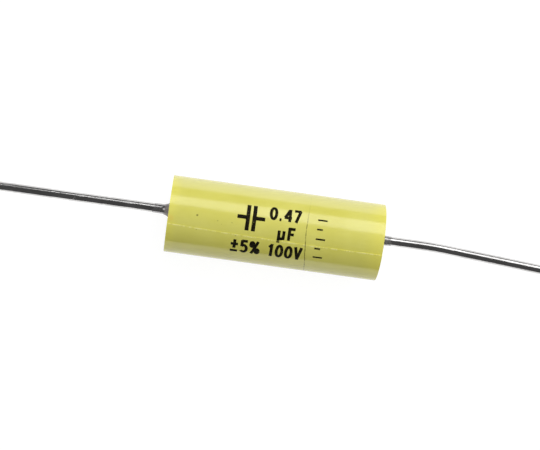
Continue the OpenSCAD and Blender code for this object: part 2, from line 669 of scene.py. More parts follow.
@dataclass(frozen=True)
class ResinFinish(Finish):
    """Cured casting resin, which thins to a clear film over the wire. Lengths are in millimetres."""

    roughness: float = 0.2
    half_length: float = 6.9
    resin: Colour = (0.47, 0.42, 0.26)
    deep: Colour = (0.36, 0.31, 0.17)
    rim: Colour = (0.42, 0.385, 0.39)
    dull_rim: Colour = (0.35, 0.315, 0.32)
    rim_w: float = 0.25
    rim_metal: float = 0.0
    film: Colour = (0.5, 0.49, 0.49)
    film_full: float = 2.2
    film_metal: float = 0.9
    painted_glint: Mark = Mark(-7.24, 0.2, 0.1)
    painted_glint_colour: Colour = (0.9, 0.88, 0.89)
    bubble_depth: float = 0.4

    def build(self) -> bpy.types.Material:
        """Mixes the resin's material.

        Returns:
            The material.
        """
        material, sketch, inputs = self.start()
        place = self.millimetres(sketch)
        x, y, z = sketch.split(place)
        past = sketch.minus(sketch.math("ABSOLUTE", x), self.half_length)
        colour = sketch.mix(self.tone(sketch, place, scale=0.66), rgba(self.resin), rgba(self.deep))
        mottle = sketch.fade(sketch.noise(place, scale=6.0), start=0.4, end=0.6)
        rim = sketch.mix(mottle, rgba(self.rim), rgba(self.dull_rim))
        near_wire = sketch.fade(self.off_axis(sketch, place), start=1.4, end=1.0)
        collar = sketch.times(sketch.fade(past, start=-0.2, end=0.05), near_wire)
        colour = sketch.mix(collar, colour, rim)
        bubbles = self.speck(sketch, place, spacing=0.7, radius=0.05)
        colour = sketch.mix(sketch.times(bubbles, self.bubble_depth), colour, rgba(self.deep))
        uneven = sketch.times(sketch.noise(place, scale=4.0), self.rim_w)
        thin_from, thin_to = self.rim_w, self.film_full * self.rim_w
        thin = sketch.fade(sketch.plus(past, uneven), start=thin_from, end=thin_to)
        # painted highlight: a small pale spot on the upper side of the left resin
        painted_glint = self.painted_glint.mask(sketch, sketch.join(x, y, 0.0))
        painted_glint = sketch.times(painted_glint, sketch.fade(z, end=0.1))
        thin = sketch.minus(thin, painted_glint)
        colour = sketch.mix(thin, colour, rgba(self.film))
        sketch.feed(inputs["Base Color"], sketch.mix(painted_glint, colour, rgba(self.painted_glint_colour)))
        metal = sketch.times(collar, self.rim_metal)
        sketch.feed(inputs["Metallic"], sketch.fade(thin, low=metal, high=self.film_metal))
        rough = sketch.fade(self.tone(sketch, place, scale=1.85), low=0.09, high=0.2)
        sketch.feed(inputs["Roughness"], rough)
        height = sketch.minus(sketch.noise(place, scale=1.5), bubbles)
        sketch.feed(inputs["Normal"], self.bump(sketch, height, strength=0.25, depth=0.03))
        return material


@dataclass(frozen=True)
class WireFinish(Finish):
    """Tinned wire with draw marks along it and bare copper at its cut. Lengths are in millimetres."""

    roughness: float = 0.1
    metallic: float = 1.0
    tin: Colour = (0.76, 0.75, 0.745)
    dull_tin: Colour = (0.6, 0.59, 0.585)
    draw_share: float = 0.35
    draw_rough: float = 0.08
    draw_depth: float = 0.4
    ripple_stretch: float = 0.35
    copper: Colour = (0.62, 0.3, 0.17)
    copper_rough: float = 0.55
    bruise: Colour = (0.9, 0.89, 0.88)
    nick_x: float = -13.1
    nick_slant: float = 0.6
    nick_w: float = 0.06
    nick_core: float = 0.3
    nick_rough: float = 0.6
    smear: Colour = (0.36, 0.355, 0.35)
    smear_x: float = 7.64
    smear_soft: float = 0.08
    smear_wander: float = 0.3
    smear_metal: float = 0.7

    def smeared(self, sketch: Sketch, place: Socket) -> Socket:
        """Draws the thin smear of resin on the right wire.

        Args:
            sketch: the sketch of the material.
            place: the piece's coordinates in millimetres.

        Returns:
            The smear's mask.
        """
        x = sketch.split(place)[0]
        wander = sketch.times(sketch.minus(sketch.noise(place, scale=6.0), 0.5), self.smear_wander)
        inner_x = self.smear_x - self.smear_soft
        edge = sketch.fade(sketch.plus(x, wander), start=self.smear_x, end=inner_x)
        return sketch.times(edge, sketch.math("GREATER_THAN", x, 0.0))

    def nick(self, sketch: Sketch, place: Socket) -> Socket:
        """Draws a slanting nick in the upper side of the left wire.

        Args:
            sketch: the sketch of the material.
            place: the piece's coordinates in millimetres.

        Returns:
            The nick's mask.
        """
        x, y, z = sketch.split(place)
        middle = sketch.plus(sketch.times(y, self.nick_slant), self.nick_x)
        off = sketch.math("ABSOLUTE", sketch.minus(x, middle))
        line = sketch.spot(off, self.nick_w, self.nick_core)
        upper = sketch.fade(z, start=0.05, end=0.15)
        shown = sketch.times(upper, sketch.fade(y, start=0.26, end=0.16))
        return sketch.times(line, shown)

    def build(self) -> bpy.types.Material:
        """Mixes the wire's material.

        Returns:
            The material.
        """
        material, sketch, inputs = self.start()
        place = self.millimetres(sketch)
        dull = self.tone(sketch, place, scale=0.9)
        colour = sketch.mix(dull, rgba(self.tin), rgba(self.dull_tin))
        draws = self.scratch(sketch, place, fineness=18.0, cover=0.5)
        colour = sketch.mix(sketch.times(draws, self.draw_share), colour, rgba(self.dull_tin))
        cut = sketch.painted("cut_face")
        colour = sketch.mix(sketch.fade(cut, start=0.4, end=0.8), colour, rgba(self.copper))
        smeared = self.smeared(sketch, place)
        colour = sketch.mix(smeared, colour, rgba(self.smear))
        metal = sketch.fade(smeared, low=self.metallic, high=self.smear_metal)
        sketch.feed(inputs["Metallic"], metal)
        nick = self.nick(sketch, place)
        sketch.feed(inputs["Base Color"], sketch.mix(nick, colour, rgba(self.bruise)))
        rough = sketch.fade(dull, low=0.1, high=0.19)
        rough = sketch.plus(rough, sketch.times(draws, self.draw_rough))
        rough = sketch.most(rough, sketch.times(nick, self.nick_rough))
        rough = sketch.most(rough, sketch.times(cut, self.copper_rough))
        sketch.feed(inputs["Roughness"], rough)
        drawn_out = sketch.vector("MULTIPLY", place, (self.ripple_stretch, 1.0, 1.0))
        ripples = sketch.noise(drawn_out, scale=4.2)
        height = sketch.minus(ripples, sketch.times(draws, self.draw_depth))
        sketch.feed(inputs["Normal"], self.bump(sketch, height, strength=0.2, depth=0.023))
        return material


@dataclass(frozen=True)
class FilmFinish(Finish):
    """Metallised film wound into a roll, with the turns as fine rings."""

    roughness: float = 0.3
    metallic: float = 0.6
    film: Colour = (0.5, 0.51, 0.52)
    shade: Colour = (0.33, 0.34, 0.35)
    turns_per_mm: float = 12.0

    def build(self) -> bpy.types.Material:
        """Mixes the film roll's material.

        Returns:
            The material.
        """
        material, sketch, inputs = self.start()
        radius = self.off_axis(sketch, self.millimetres(sketch))
        rings = sketch.math("SINE", sketch.times(radius, self.turns_per_mm * FULL_TURN))
        mask = sketch.fade(rings, start=-1.0)
        sketch.feed(inputs["Base Color"], sketch.mix(mask, rgba(self.film), rgba(self.shade)))
        sketch.feed(inputs["Normal"], self.bump(sketch, mask, strength=0.3, depth=0.015))
        return material


@dataclass(frozen=True)
class SprayFinish(Finish):
    """Rough metal sprayed on the ends of the roll."""

    roughness: float = 0.6
    metallic: float = 0.8
    metal: Colour = (0.36, 0.36, 0.35)
    pits: Colour = (0.2, 0.2, 0.2)

    def build(self) -> bpy.types.Material:
        """Mixes the sprayed metal's material.

        Returns:
            The material.
        """
        material, sketch, inputs = self.start()
        grain = sketch.noise(self.millimetres(sketch), scale=8.0, detail=4.0, rough=0.7)
        mask = sketch.fade(grain, start=0.35, end=0.65)
        sketch.feed(inputs["Base Color"], sketch.mix(mask, rgba(self.pits), rgba(self.metal)))
        sketch.feed(inputs["Normal"], self.bump(sketch, grain, strength=0.8, depth=0.04))
        return material


@dataclass
class TapeWrap:
    """The wound tape, whose free edge is a fine step along the marked side. Lengths are in metres."""

    outer_r: float
    bore_r: float
    length: float
    gap: float = 0.003 * MM
    turns: int = 2
    seam_angle: float = math.radians(18.6)
    seam_skew: float = math.radians(1.9)
    seam_bow: float = math.radians(-1.9)
    seam_shake: float = math.radians(0.8)
    edge_wander: float = 0.027 * MM
    edge_waves: float = 2.4
    ripple: float = 0.009 * MM
    ripple_stretch: float = 0.12
    slack: float = 0.023 * MM
    slack_turn: float = 0.11
    steps_round: int = 180
    steps_along: int = 60

    @property
    def tape_t(self) -> float:
        """Returns the thickness of one layer, of which there is one more than there are turns."""
        return (self.outer_r - self.bore_r) / (self.turns + 1)

    @cached_property
    def ripple_group(self) -> bpy.types.NodeTree:
        """Builds the geometry group for the tape's slight unevenness, as a height.

        Returns:
            The group.
        """
        inputs = floats("X", "Angle", "Amount")
        sketch, taken, given = new_group(TreeKind.GEOMETRY, "tape_ripple", inputs, "Height")
        around = [sketch.math(turn, taken["Angle"]) for turn in ("COSINE", "SINE")]
        along = sketch.times(taken["X"], self.ripple_stretch / MM)
        value = sketch.noise(sketch.join(along, *around), scale=1.7, detail=1.0)
        sketch.feed(given, sketch.times(sketch.minus(value, 0.5), taken["Amount"]))
        return sketch.tree

    @cached_property
    def seam_group(self) -> bpy.types.NodeTree:
        """Builds the geometry group for the seam's angle at a place along the body, from -1 to 1.

        Returns:
            The group.
        """
        inputs = floats("Along")
        sketch, taken, given = new_group(TreeKind.GEOMETRY, "tape_seam", inputs, "Angle")
        along = taken["Along"]
        bowed = sketch.times(along, along, self.seam_bow)
        slope = sketch.plus(sketch.times(along, self.seam_skew), bowed)
        shake = sketch.noise(sketch.join(along, 0.0, 0.0), scale=5.0)
        shake = sketch.times(sketch.minus(shake, 0.5), self.seam_shake)
        sketch.feed(given, sketch.plus(slope, shake, UP_ANGLE + self.seam_angle))
        return sketch.tree

    @cached_property
    def drop_group(self) -> bpy.types.NodeTree:
        """Builds the geometry group for how far the tape has sunk after some turns from its free edge.

        The outermost layer stands a little proud just before it dips under the free edge.

        Returns:
            The group.
        """
        inputs = floats("Turns", "Pitch")
        sketch, taken, given = new_group(TreeKind.GEOMETRY, "tape_drop", inputs, "Drop")
        whole = sketch.math("FLOOR", taken["Turns"])
        part = sketch.math("FRACT", taken["Turns"])
        swing = sketch.plus(sketch.math("COSINE", sketch.times(part, FULL_TURN)), 1.0)
        sunk = sketch.times(swing, 0.5, sketch.math("GREATER_THAN", part, 0.5))
        wound = sketch.times(sketch.plus(whole, sunk), taken["Pitch"])
        crest = 1.0 - 0.5 * self.slack_turn
        up = sketch.fade(part, start=1.0 - self.slack_turn, end=crest)
        down = sketch.fade(part, start=1.0, end=crest)
        outermost = sketch.math("LESS_THAN", taken["Turns"], 1.0)
        lifted = sketch.times(sketch.times(up, down), sketch.times(outermost, self.slack))
        sketch.feed(given, sketch.minus(wound, lifted))
        return sketch.tree

    def tree(self) -> bpy.types.NodeTree:
        """Builds the geometry tree that winds a flat strip into the wrap.

        Returns:
            The tree.
        """
        inputs = {
            **floats("Outer Radius", "Length", "Pitch", "Thickness", "Turns", "Edge Wander", "Ripple"),
            "Steps Round": Plug.INT,
            "Steps Along": Plug.INT,
            "Material": Plug.MATERIAL,
        }
        sketch, taken, given = new_group(
            TreeKind.GEOMETRY, "wound_tape", inputs, "Geometry", Plug.GEOMETRY
        )
        strip = sketch.add("GeometryNodeMeshCube", {
            "Size": (1.0, 1.0, 1.0),
            "Vertices X": taken["Steps Round"],
            "Vertices Y": taken["Steps Along"],
        })
        px, py, pz = sketch.split(sketch.add("GeometryNodeInputPosition").outputs[0])
        along = sketch.times(py, 2.0)
        back = sketch.times(sketch.minus(0.5, px), taken["Turns"])
        turned = sketch.times(back, FULL_TURN)
        angle = sketch.plus(sketch.group(self.seam_group, {"Along": along}), turned)
        x_full = sketch.times(py, taken["Length"])
        drop = sketch.group(self.drop_group, {"Turns": back, "Pitch": taken["Pitch"]})
        inset = sketch.times(sketch.minus(0.5, pz), taken["Thickness"])
        feeds = {"X": x_full, "Angle": angle, "Amount": taken["Ripple"]}
        ripple = sketch.group(self.ripple_group, feeds)
        radius = sketch.plus(sketch.minus(taken["Outer Radius"], drop, inset), ripple)
        waves = sketch.join(sketch.times(back, self.edge_waves), sketch.math("SIGN", py), 0.0)
        trim = sketch.times(sketch.noise(waves, scale=1.0), taken["Edge Wander"], along)
        place = sketch.polar(sketch.minus(x_full, trim), angle, radius)
        # the distance is stored before the strip is wound, while it still follows from the flat position
        reach = sketch.times(turned, taken["Outer Radius"], 1 / MM)
        kept = sketch.add(
            "GeometryNodeStoreNamedAttribute",
            {"Geometry": strip.outputs["Mesh"], "Name": "from_edge", "Value": reach},
            data_type="FLOAT",
            domain="POINT",
        )
        wound = sketch.add("GeometryNodeSetPosition", {0: kept.outputs[0], "Position": place})
        # winding backwards from the free edge turns the strip inside out
        turned_out = sketch.add("GeometryNodeFlipFaces", {0: wound.outputs[0]})
        return end_tree(sketch, turned_out.outputs[0], taken["Material"], given)

    def build(self, material: bpy.types.Material) -> bpy.types.Object:
        """Makes the wound tape.

        Args:
            material: the tape's finish.

        Returns:
            The finished piece.
        """
        piece = new_piece("tape_wrap", [(0.0, 0.0, 0.0)], [])
        grow(piece, self.tree(), {
            "Outer Radius": self.outer_r,
            "Length": self.length,
            "Pitch": self.tape_t,
            "Thickness": self.tape_t - self.gap,
            "Turns": float(self.turns),
            "Edge Wander": self.edge_wander,
            "Ripple": self.ripple,
            "Steps Round": self.turns * self.steps_round + 1,
            "Steps Along": self.steps_along + 1,
            "Material": material,
        })
        smooth(piece)
        settle(piece, "tape", "wrap")
        return piece


def bar(start: Point, end: Point) -> list[Point]:
    """Returns a straight stroke."""
    return [start, end]


def bow(centre: Point, rx: float, ry: float, start_deg: float, end_deg: float) -> list[Point]:
    """Bends a stroke along an ellipse.

    Args:
        centre: the ellipse's centre.
        rx: its half width.
        ry: its half height.
        start_deg: where the stroke starts.
        end_deg: where it ends.

    Returns:
        The stroke's points.
    """
    steps = max(BOW_LEAST_STEPS, int(abs(end_deg - start_deg) / BOW_STEP_DEG))
    points = []
    for i in range(steps + 1):
        angle = math.radians(start_deg + (end_deg - start_deg) * i / steps)
        points.append((centre[0] + rx * math.cos(angle), centre[1] + ry * math.sin(angle)))
    return points


class Sign(Enum):
    """The plain signs of a rating: each holds its width and its strokes, one unit high."""

    ZERO = (0.62, (bow((0.31, 0.5), 0.22, 0.42, 0, 360),))
    ONE = (0.5, (bar((0.3, 0.0), (0.3, 0.99)), bar((0.34, 0.93), (0.1, 0.74))))
    FOUR = (
        0.64,
        (
            bar((0.46, 0.0), (0.46, 0.99)),
            bar((0.46, 0.95), (0.08, 0.3)),
            bar((0.02, 0.3), (0.62, 0.3)),
        ),
    )
    FIVE = (
        0.62,
        (
            bar((0.56, 0.92), (0.1, 0.92)),
            bar((0.14, 0.97), (0.12, 0.5)),
            bow((0.29, 0.34), 0.23, 0.27, 140, -145),
        ),
    )
    SEVEN = (0.6, (bar((0.04, 0.92), (0.58, 0.92)), bar((0.53, 0.95), (0.22, 0.0))))
    POINT = (0.3, (bar((0.06, 0.08), (0.22, 0.08)),))
    PERCENT = (
        0.84,
        (
            bow((0.2, 0.75), 0.12, 0.17, 0, 360),
            bow((0.62, 0.25), 0.12, 0.17, 0, 360),
            bar((0.64, 1.0), (0.18, 0.0)),
        ),
    )
    MICRO = (
        0.64,
        (
            bar((0.12, 0.7), (0.12, -0.24)),
            bow((0.29, 0.26), 0.17, 0.2, 180, 360),
            bar((0.48, 0.7), (0.48, 0.0)),
        ),
    )
    FARAD = (
        0.6,
        (
            bar((0.13, 0.0), (0.13, 1.0)),
            bar((0.06, 0.92), (0.56, 0.92)),
            bar((0.06, 0.5), (0.48, 0.5)),
        ),
    )
    VOLT = (0.64, (bar((0.07, 1.0), (0.33, 0.02)), bar((0.29, 0.02), (0.55, 1.0))))
    PLUS_MINUS = (
        0.66,
        (
            bar((0.31, 0.3), (0.31, 0.96)),
            bar((0.02, 0.63), (0.6, 0.63)),
            bar((0.02, 0.08), (0.6, 0.08)),
        ),
    )
    PLATES = (
        1.04,
        (
            bar((0.4, 0.0), (0.4, 1.0)),
            bar((0.64, 0.0), (0.64, 1.0)),
            bar((0.0, 0.5), (0.4, 0.5)),
            bar((0.64, 0.5), (1.04, 0.5)),
        ),
    )
    TICKS = (
        0.24,
        tuple(bar((0.0, 0.25 * k), (0.15 if k % 2 else 0.24, 0.25 * k)) for k in range(5)),
    )
    SPACE = (0.35, ())


@dataclass(frozen=True)
class PrintRow:
    """One row of signs on the flat tape, in millimetres."""

    x: float
    y: float
    height: float
    stroke_w: float
    signs: tuple[Sign, ...]
    narrowing: float = 1.0
    spacing: float = 0.12

    def strokes(self) -> list[list[Point]]:
        """Lays out the row.

        Returns:
            The row's strokes at their places on the flat tape.
        """
        placed = []
        pen = self.x
        wide = self.height * self.narrowing
        for sign in self.signs:
            width, strokes = sign.value
            for stroke in strokes:
                placed.append([(pen + px * wide, self.y + py * self.height) for px, py in stroke])
            pen += (width + self.spacing) * wide
        return placed


@dataclass
class RatingPrint:
    """A generic rating, stamped on the tape in strokes that follow its surface."""

    wrap: TapeWrap
    lift: float = 0.003 * MM
    film_t: float = 0.002 * MM
    step: float = 0.045 * MM
    points_across: int = 4
    rows: tuple[PrintRow, ...] = (
        PrintRow(-2.55, -0.42, 1.7, 0.25, (Sign.PLATES,)),
        PrintRow(-0.52, 0.5, 0.86, 0.19, (Sign.ZERO, Sign.POINT, Sign.FOUR, Sign.SEVEN), 0.92),
        PrintRow(0.1, -0.72, 0.84, 0.19, (Sign.MICRO, Sign.FARAD)),
        PrintRow(
            -2.74,
            -2.04,
            0.98,
            0.19,
            (
                Sign.PLUS_MINUS,
                Sign.FIVE,
                Sign.PERCENT,
                Sign.SPACE,
                Sign.ONE,
                Sign.ZERO,
                Sign.ZERO,
                Sign.VOLT,
            ),
            0.82,
        ),
        PrintRow(2.55, -1.6, 2.5, 0.11, (Sign.TICKS,)),
    )

    def tree(self) -> bpy.types.NodeTree:
        """Builds the geometry tree that turns flat strokes into bands of ink on the tape.

        Returns:
            The tree.
        """
        inputs = {
            "Strokes": Plug.GEOMETRY,
            **floats("Step", "Outer Radius", "Length", "Pitch", "Ripple", "Lift"),
            "Material": Plug.MATERIAL,
        }
        sketch, taken, given = new_group(
            TreeKind.GEOMETRY, "stamped_print", inputs, "Geometry", Plug.GEOMETRY
        )
        path = sketch.add("GeometryNodeMeshToCurve", {0: taken["Strokes"]})
        feeds = {0: path.outputs[0], "Length": taken["Step"]}
        fine = sketch.add("GeometryNodeResampleCurve", feeds, mode="LENGTH")
        feeds = {"Start": (-0.5, 0.0, 0.0), "End": (0.5, 0.0, 0.0)}
        pen = sketch.add("GeometryNodeCurvePrimitiveLine", feeds)
        feeds = {0: pen.outputs[0], "Count": self.points_across}
        pen = sketch.add("GeometryNodeResampleCurve", feeds)
        band = sketch.add("GeometryNodeCurveToMesh", {
            "Curve": fine.outputs[0],
            "Profile Curve": pen.outputs[0],
            "Scale": sketch.stored("stroke_w"),
        })
        x, y, _ = sketch.split(sketch.add("GeometryNodeInputPosition").outputs[0])
        angle = sketch.minus(UP_ANGLE, sketch.math("DIVIDE", y, taken["Outer Radius"]))
        along = sketch.math("DIVIDE", sketch.times(x, 2.0), taken["Length"])
        seam = sketch.group(self.wrap.seam_group, {"Along": along})
        past = sketch.math("FRACT", sketch.math("DIVIDE", sketch.minus(angle, seam), FULL_TURN))
        drop = sketch.group(self.wrap.drop_group, {"Turns": past, "Pitch": taken["Pitch"]})
        feeds = {"X": x, "Angle": angle, "Amount": taken["Ripple"]}
        ripple = sketch.group(self.wrap.ripple_group, feeds)
        lifted = sketch.plus(taken["Outer Radius"], taken["Lift"])
        radius = sketch.plus(sketch.minus(lifted, drop), ripple)
        feeds = {0: band.outputs[0], "Position": sketch.polar(x, angle, radius)}
        laid = sketch.add("GeometryNodeSetPosition", feeds)
        return end_tree(sketch, laid.outputs[0], taken["Material"], given)

    def build(self, material: bpy.types.Material) -> bpy.types.Object:
        """Makes the print.

        Args:
            material: the ink's finish.

        Returns:
            The finished piece.
        """
        points: list[Place] = []
        edges: list[tuple[int, int]] = []
        widths: list[float] = []
        for row in self.rows:
            for stroke in row.strokes():
                first = len(points)
                points += [(x * MM, y * MM, 0.0) for x, y in stroke]
                edges += [(i, i + 1) for i in range(first, len(points) - 1)]
                widths += [row.stroke_w * MM] * len(stroke)
        piece = new_piece("rating_print", points, [], edges)
        store(piece, "stroke_w", widths)
        grow(piece, self.tree(), {
            "Step": self.step,
            "Outer Radius": self.wrap.outer_r,
            "Length": self.wrap.length,
            "Pitch": self.wrap.tape_t,
            "Ripple": self.wrap.ripple,
            "Lift": self.lift,
            "Material": material,
        })
        smooth(piece)
        film = piece.modifiers.new("ink_film", "SOLIDIFY")
        film.thickness = self.film_t
        film.offset = -1.0
        settle(piece, "tape")
        return piece


@dataclass
class Lead:
    """One tinned wire, from the head on the sprayed metal to its cut end. Lengths are in metres."""

    end: End
    spray_x: float
    body_end_x: float
    offset: float
    skin_l: float
    wire_r: float
    head_r: float
    free_l: float = 29.9 * MM
    head_t: float = 0.25 * MM
    head_edge: float = 0.002 * MM
    neck_swell: float = 0.025 * MM
    bend_start: float = 0.0
    bend_angle: float = 0.0
    bend_r: float = 25.0 * MM
    step: float = 0.2 * MM
    sides: int = 32
    cut_l: float = 0.3 * MM
    cut_pinch: float = 0.3
    cut_slope: float = 0.25
    cut_reach: float = 0.5 * MM
    dent: float = 0.005 * MM
    dents_per_mm: float = 1.45

    def place(self, distance: float) -> Point:
        """Follows the wire.

        Args:
            distance: the length of wire past the end of the wrap.

        Returns:
            How far out and how far to +Y the wire is there.
        """
        if not self.bend_angle or distance <= self.bend_start:
            return distance, 0.0
        bend_l = self.bend_r * self.bend_angle
        past = distance - self.bend_start
        turned = min(past, bend_l) / self.bend_r
        rest = max(0.0, past - bend_l)
        out = self.bend_start + self.bend_r * math.sin(turned) + rest * math.cos(turned)
        side = -self.bend_r * (1 - math.cos(turned)) - rest * math.sin(turned)
        return out, side

    def path(self) -> tuple[list[Place], list[float], list[float]]:
        """Works out the wire's centre line.

        Returns:
            Its points, the wire's radius at each and each one's distance from the cut end.
        """
        fill = self.body_end_x - self.spray_x
        stations = [
            (-fill, self.head_r),
            (self.head_t - fill - self.head_edge, self.head_r),
            (self.head_t - fill, self.wire_r + self.neck_swell),
            (self.skin_l, self.wire_r),
        ]
        bare_l = self.free_l - self.skin_l
        count = math.ceil(bare_l / self.step)
        for i in range(1, count + 1):
            stations.append((self.skin_l + bare_l * i / count, self.wire_r))
        points = []
        for distance, _ in stations:
            out, side = self.place(distance)
            points.append((self.end.value * (self.body_end_x + out), self.offset + side, 0.0))
        return points, [r for _, r in stations], [self.free_l - d for d, _ in stations]

    def tree(self) -> bpy.types.NodeTree:
        """Builds the geometry tree that sweeps the wire along its path and shears its end.

        Returns:
            The tree.
        """
        inputs = {
            "Path": Plug.GEOMETRY,
            "Sides": Plug.INT,
            **floats("Cut Length", "Cut Pinch", "Dent"),
            "Material": Plug.MATERIAL,
        }
        name = f"drawn_wire_{self.end.side}"
        sketch, taken, given = new_group(TreeKind.GEOMETRY, name, inputs, "Geometry", Plug.GEOMETRY)
        path = sketch.add("GeometryNodeMeshToCurve", {0: taken["Path"]})
        feeds = {"Resolution": taken["Sides"], "Radius": 1.0}
        ring = sketch.add("GeometryNodeCurvePrimitiveCircle", feeds)
        wire = sketch.add("GeometryNodeCurveToMesh", {
            "Curve": path.outputs[0],
            "Profile Curve": ring.outputs[0],
            "Scale": sketch.stored("wire_r"),
            "Fill Caps": True,
        })
        place = sketch.add("GeometryNodeInputPosition").outputs[0]
        z = sketch.split(place)[2]
        near = sketch.fade(sketch.stored("to_tip"), start=taken["Cut Length"], end=0.0)
        squeeze = sketch.times(near, taken["Cut Pinch"], z)
        slope = sketch.times(near, z, self.cut_slope * -self.end.value)
        dented = sketch.fade(sketch.noise(place, scale=self.dents_per_mm / MM), start=0.62, end=0.8)
        depth = sketch.times(dented, sketch.times(taken["Dent"], -1.0))
        normal = sketch.add("GeometryNodeInputNormal").outputs[0]
        push = sketch.add("ShaderNodeVectorMath", {0: normal, "Scale": depth}, operation="SCALE")
        sheared = sketch.join(slope, 0.0, sketch.times(squeeze, -1.0))
        move = sketch.vector("ADD", sheared, push.outputs[0])
        shaped = sketch.add("GeometryNodeSetPosition", {0: wire.outputs[0], "Offset": move})
        return end_tree(sketch, shaped.outputs[0], taken["Material"], given)

    def build(self, material: bpy.types.Material) -> bpy.types.Object:
        """Makes the lead.

        Args:
            material: the wire's finish.

        Returns:
            The finished piece.
        """
        points, radii, to_tip = self.path()
        edges = [(i, i + 1) for i in range(len(points) - 1)]
        piece = new_piece(f"wire_{self.end.side}", points, [], edges)
        store(piece, "wire_r", radii)
        store(piece, "to_tip", to_tip)
        grow(piece, self.tree(), {
            "Sides": self.sides,
            "Cut Length": self.cut_l,
            "Cut Pinch": self.cut_pinch,
            "Dent": self.dent,
            "Material": material,
        })
        self.mark_cut(piece)
        smooth(piece, sharp_deg=40.0)
        settle(piece, "tinned_wire", f"lead_{self.end.side}")
        return piece

    def mark_cut(self, piece: bpy.types.Object) -> None:
        """Marks the face at the wire's cut end, where the tin is missing.

        Args:
            piece: the wire, of which only the two end faces have more than four corners.
        """
        mesh = piece.data
        tip = max(abs(v.co.x) for v in mesh.vertices)
        cut = mesh.attributes.new("cut_face", "FLOAT", "FACE")
        for face in mesh.polygons:
            at_tip = abs(face.center.x) > tip - self.cut_reach and len(face.vertices) > 4
            cut.data[face.index].value = 1.0 if at_tip else 0.0


@dataclass
class EndSeal:
    """Resin in one end of the wrap, dished up to the tape and climbing the lead. Lengths are in metres.

    Each of skin_waves has its count round the wire, its shift and its share of skin_wave. The rings of
    skin_edge round off the skin, outwards and back, in multiples of skin_edge_t, and the last one keeps
    the edge's shading off the long skin.
    """

    wrap: TapeWrap
    lead: Lead
    recess: float
    climb_r: float
    climb_lean: float
    skin_lean: float
    skin_t: float = 0.022 * MM
    skin_edge_t: float = 0.015 * MM
    skin_edge: tuple[Point, ...] = ((0.7, 0.3), (1.0, 1.5), (1.0, 3.0))
    skin_wave: float = 0.035 * MM
    skin_waves: tuple[tuple[int, float, float], ...] = ((3, 1.0, 1.0), (5, 0.0, 0.6))
    lip_w: float = 0.03 * MM
    lip_depth: float = 0.05 * MM
    face_dip: float = 0.015 * MM
    sides: int = 128
    climb_steps: int = 14
    dish_steps: int = 8

    def profile(self, angle: float) -> list[Point]:
        """Works out the resin's half section at one angle round the lead.

        Args:
            angle: the angle round X, from +Y.

        Returns:
            The radius round the lead and the height over the sprayed metal, point by point.
        """
        fill = self.lead.body_end_x - self.lead.spray_x
        face = fill - self.recess
        down = -math.cos(angle)
        wave = sum(share * math.sin(count * angle + shift) for count, shift, share in self.skin_waves)
        tip = fill + self.lead.skin_l * (1 + self.skin_lean * down) + self.skin_wave * wave
        climb_r = self.climb_r * (1 + self.climb_lean * down)
        wire_r = self.lead.wire_r
        skin_r = wire_r + self.skin_t
        points = [
            (self.lead.head_r, 0.0),
            (self.lead.head_r, self.lead.head_t),
            (wire_r + self.lead.neck_swell, self.lead.head_t),
            (wire_r, tip),
        ]
        for out, back in self.skin_edge:
            points.append((wire_r + out * self.skin_edge_t, tip - back * self.skin_edge_t))
        for i in range(self.climb_steps + 1):
            turn = math.radians(180 + 90 * i / self.climb_steps)
            radius = skin_r + climb_r * (1 + math.cos(turn))
            points.append((radius, face + climb_r * (1 + math.sin(turn))))
        bore_r = self.wrap.bore_r
        dish_r = self.recess - self.lip_depth
        dish_x = bore_r - self.lip_w - dish_r
        points.append((0.5 * (skin_r + climb_r + dish_x), face - self.face_dip))
        for i in range(self.dish_steps + 1):
            turn = math.radians(-90 + 90 * i / self.dish_steps)
            points.append((dish_x + dish_r * math.cos(turn), face + dish_r * (1 + math.sin(turn))))
        points.append((bore_r, fill - self.lip_depth))
        points.append((bore_r, 0.0))
        return points

    def build(self, material: bpy.types.Material) -> bpy.types.Object:
        """Makes the resin.

        Args:
            material: the resin's finish.

        Returns:
            The finished piece.
        """
        end = self.lead.end
        head_r = self.lead.head_r
        points = []
        rings = 0
        for k in range(self.sides):
            angle = 2 * math.pi * k / self.sides
            section = self.profile(angle)
            rings = len(section)
            for radius, height in section:
                centred = (radius - head_r) / (self.wrap.bore_r - head_r)
                centre_y = self.lead.offset * (1 - min(1.0, max(0.0, centred)))
                points.append((
                    end.value * (self.lead.spray_x + height),
                    centre_y + radius * math.cos(angle),
                    radius * math.sin(angle),
                ))
        faces = []
        for k in range(self.sides):
            here, there = k * rings, (k + 1) % self.sides * rings
            for i in range(rings):
                following = (i + 1) % rings
                quad = (here + i, there + i, there + following, here + following)
                # the right end is a mirror image, so its faces turn the other way
                faces.append(quad if end is End.LEFT else quad[::-1])
        piece = new_piece(f"resin_{end.side}", points, faces)
        piece.data.materials.append(material)
        smooth(piece, sharp_deg=50.0)
        settle(piece, "resin", f"end_seal_{end.side}")
        return piece


@dataclass(frozen=True)
class Lamp:
    """A soft lamp that faces the body, tilted to the back and to the right. Lengths are in metres."""

    name: str
    shape: LampShape
    distance: float
    size: Point
    watts: float
    back: float = 0.0
    right: float = 0.0
    lights: bool = True
    gleams: bool = True

    def hang(self) -> None:
        """Hangs the lamp in its place."""
        data = bpy.data.lights.new(self.name, "AREA")
        data.shape = self.shape.value
        data.size, data.size_y = self.size
        data.energy = self.watts
        light = bpy.data.objects.new(self.name, data)
        bpy.context.scene.collection.objects.link(light)
        light.visible_diffuse = self.lights
        light.visible_glossy = self.gleams
        overhead = Vector((0.0, math.sin(self.back), math.cos(self.back)))
        side = Vector((1.0, 0.0, 0.0))
        away = side * math.sin(self.right) + overhead * math.cos(self.right)
        width = side * math.cos(self.right) - overhead * math.sin(self.right)
        turn = Matrix((width, away.cross(width), away)).transposed().to_4x4()
        light.matrix_world = Matrix.Translation(away * self.distance) @ turn


